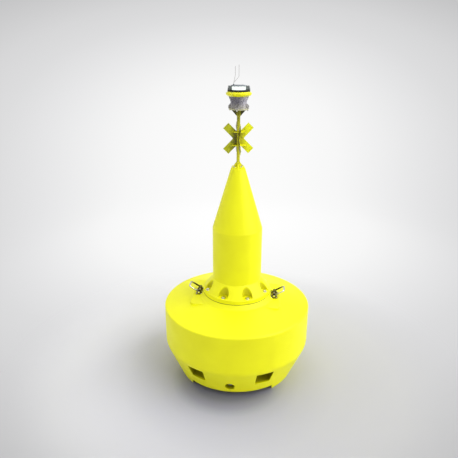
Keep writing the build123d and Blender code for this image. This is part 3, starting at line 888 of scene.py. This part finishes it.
def build_cove():
    """Round floor that bends up into a wall, open at the top."""
    cove = settle(start_piece(
        "studio_cove", bpy.ops.mesh.primitive_cylinder_add, vertices=COVE_SEGMENTS,
        radius=COVE_RADIUS, depth=COVE_HEIGHT,
        location=COVE_MIDDLE + Vector((0, 0, COVE_HEIGHT / 2))))
    pick(cove, "FACE", lambda face: face.normal.z > LEVEL)
    bpy.ops.mesh.delete(type="FACE")
    bpy.ops.object.mode_set(mode="OBJECT")
    pick(cove, "EDGE", at_height(cove, 0.0))
    bpy.ops.mesh.bevel(offset=COVE_BEND, segments=COVE_BEND_STEPS, affect="EDGES")
    bpy.ops.mesh.select_all(action="SELECT")
    bpy.ops.mesh.flip_normals()
    bpy.ops.object.mode_set(mode="OBJECT")
    bpy.ops.object.shade_smooth()
    cove.data.materials.append(studio_paper())
    cove.visible_shadow = False


def add_lamp(name, turn, height, soft, power):
    """Sun lamp from one side of the buoy; its angles are in degrees."""
    lamp = bpy.data.lights.new(name, "SUN")
    lamp.energy = power
    lamp.angle = math.radians(soft)
    piece = bpy.data.objects.new(name, lamp)
    bpy.context.collection.objects.link(piece)
    piece.matrix_world = (
        Matrix.Rotation(math.radians(turn), 4, "Z")
        @ Matrix.Rotation(math.radians(90 - height), 4, "X"))


def light_studio():
    """Even sky, a soft key from the right and a soft overhead lamp."""
    world = bpy.data.worlds.new("studio_sky")
    bpy.context.scene.world = world
    world.use_nodes = True
    tree = world.node_tree
    sky = tree.nodes["Background"]
    sky.inputs["Color"].default_value = linear("#FFFFFF")
    level = add_node(tree, "ShaderNodeMapRange", {
        "Value": seen_directly(tree), "To Min": SKY_LEVEL, "To Max": 1.0})
    tree.links.new(level.outputs["Result"], sky.inputs["Strength"])
    add_lamp(*KEY_LAMP)
    add_lamp(*TOP_LAMP)


def place_camera():
    """Camera at the photograph's place, turn and lens."""
    lens = bpy.data.cameras.new("camera")
    lens.lens = CAMERA_LENS
    camera = bpy.data.objects.new("camera", lens)
    bpy.context.collection.objects.link(camera)
    camera.matrix_world = (
        Matrix.Translation(CAMERA_PLACE)
        @ Matrix.Rotation(math.radians(CAMERA_TURN), 4, "Z")
        @ Matrix.Rotation(math.radians(90 - CAMERA_DOWN), 4, "X")
        @ Matrix.Rotation(math.radians(CAMERA_ROLL), 4, "Z"))
    bpy.context.scene.camera = camera


# Finishes by the record's slot, and of the nodes that differ from their slot's by how their name
# starts; the longest start counts

FINISHES = {
    # painted shade darkens the float's recesses
    "float_yellow": paint_recess_shade(moulded_polyethylene("float"), "#B8B20E", FLOAT_CONE),
    "mast_yellow": powder_coated_steel(),
    "stainless": brushed_stainless(),
    "lamp_grey": housing_asa_painted_light(),
    "lamp_yellow": glossy_asa(),
    "gasket_black": gasket_rubber(),
    "core_white": opal_acrylic_painted_glow(),
    "lens_clear": smoky_polycarbonate(),
    "cap_slate": slate_asa(),
}
POLISHED = polished_stainless("bolts")
TOPMARK = topmark_steel_painted_shade()
WELD = stainless_weld()
SPECIAL = {
    "tower_bolts": POLISHED,
    "lantern_bolts": POLISHED,
    "lifting_bolts": POLISHED,
    "lifting_pin": POLISHED,
    "lifting_bow": bow_painted_reflection(),
    # the head gussets are darkened as painted shade from the head plate above
    "mast_head_gussets": gusset_steel_painted_shade(),
    "mast_head_plate": zinc_plate(),
    # painted shade darkens the tower's recesses
    "tower": paint_recess_shade(moulded_polyethylene("tower"), "#D2CC08", SKIRT_CONE),
    "topmark": TOPMARK,
    "topmark_disc": FINISHES["mast_yellow"],
    "lifting_bracket": passivated_zinc(),
    "mast": mast_pipe_painted_shade(),
    "mast_foot": FINISHES["mast_yellow"],
}


def dress_nodes():
    """Give each node of the frame its own finish or that of its slot."""
    slots = {part["node"]: part["material_slot"] for part in frame["record"]["subparts"]}
    for name, node in frame["nodes"].items():
        starts = [start for start in SPECIAL if name.startswith(start)]
        material = SPECIAL[max(starts, key=len)] if starts else FINISHES[slots[name]]
        node.data.materials.clear()
        node.data.materials.append(material)


place_camera()
build_cove()
light_studio()
dress_nodes()
build_round_mast("tower_bolt_heads", TOWER_BOLTS, POLISHED, "tower_bolts")
build_round_mast("lantern_bolt_heads", LANTERN_BOLTS, POLISHED, "lantern_bolts")
build_round_mast("lantern_nuts", LANTERN_NUTS, POLISHED, tip=180)
build_round_mast("mast_foot_bolts", MAST_FOOT_BOLTS, POLISHED)
build_joint()
build_cap_screws()
build_mooring_bar()
for bracket_side, bracket_turn in (("left", -1), ("right", 1)):
    build_bracket_bolts(bracket_side, bracket_turn)
    build_pin(bracket_side, bracket_turn)
    build_ear_beads(bracket_side, bracket_turn)
build_weld_ring("mast_foot_weld", FOOT_FACE)
build_weld_ring("mast_head_weld", HEAD_FACE)
build_gusset_beads("foot_gusset_beads", FOOT_FACE, FOOT_GUSSET, up=True)
build_gusset_beads("head_gusset_beads", HEAD_FACE, HEAD_GUSSET, up=False)
build_wing_beads()

bpy.context.scene.view_settings.view_transform = "Standard"
